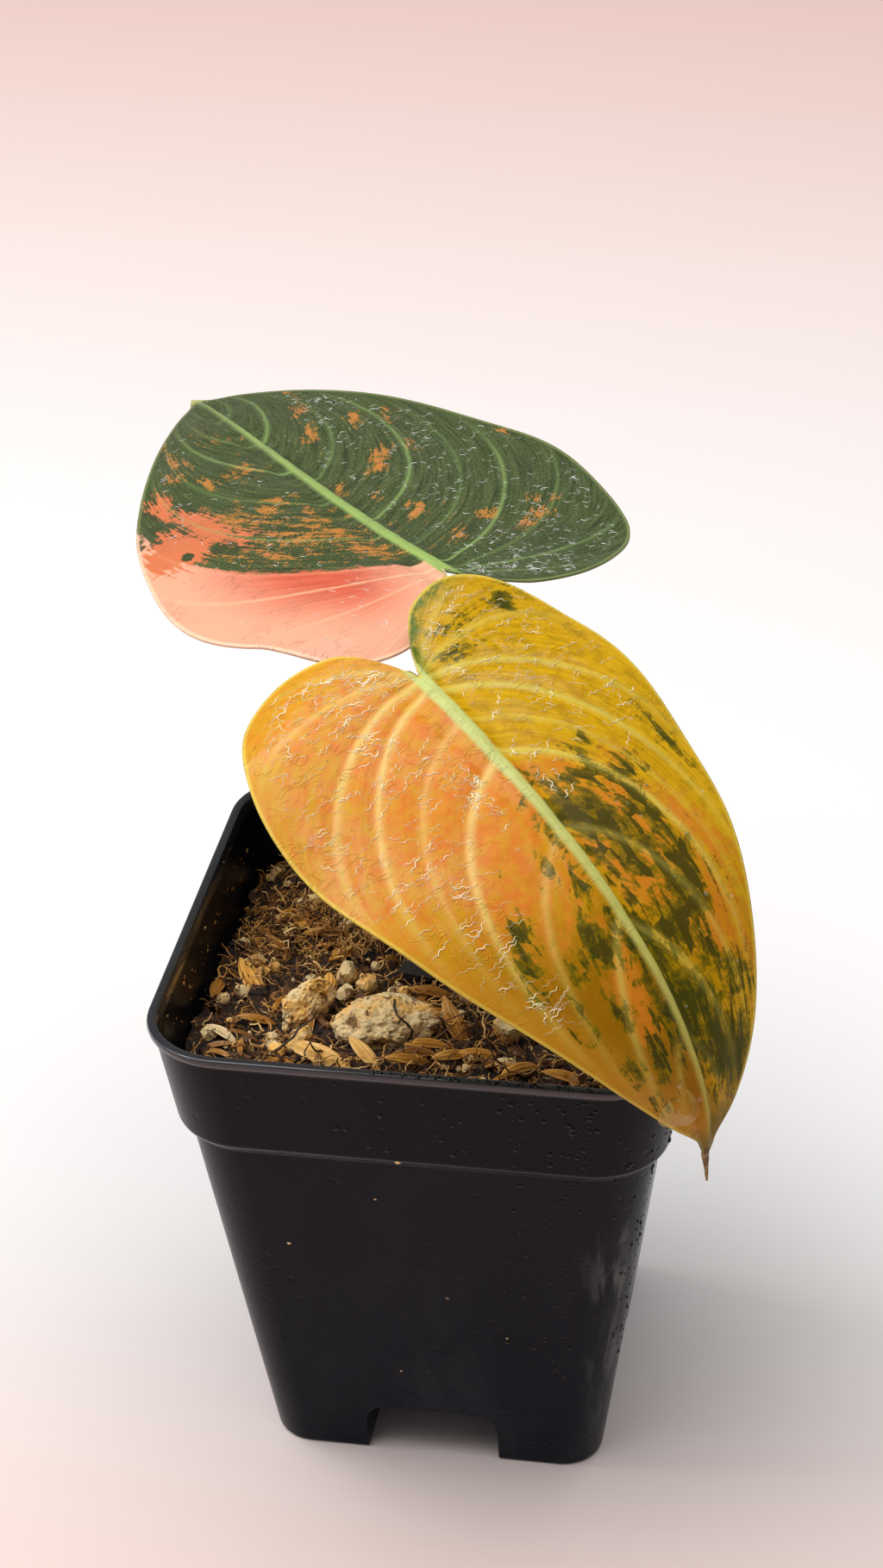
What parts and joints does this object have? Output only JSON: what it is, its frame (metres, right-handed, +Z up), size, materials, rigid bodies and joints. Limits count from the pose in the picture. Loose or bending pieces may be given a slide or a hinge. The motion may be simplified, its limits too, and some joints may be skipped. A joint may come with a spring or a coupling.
{
  "type": "potted philodendron melanochrysum",
  "caption": "Young variegated philodendron with heart-shaped drooping leaves on upright petioles, in a square tapered nursery pot with coarse potting mix.",
  "frame": {"origin": "middle of the part's own box in plan, at the height of the surface that the pot stands on", "axes": "+Z up, -Y to the front, where the nearer leaf hangs over the rim, and +X to the right seen from the front"},
  "size_m": [0.1168, 0.1554, 0.1591],
  "materials": {
    "pot_plastic": "satin black moulded plastic",
    "mix": "coarse and rough",
    "pumice": "rough and pitted",
    "stem": "smooth and slightly glossy",
    "leaf_golden": "satin, wet in places",
    "leaf_dark": "velvety satin, wet in places"
  },
  "bodies": {
    "root": {"pot": "pot_plastic", "potting_mix": "mix", "pumice_large": "pumice", "pumice_small": "pumice", "stem_and_petioles": "stem", "leaf_front": "leaf_golden", "leaf_back": "leaf_dark"}
  },
  "joints": []
}
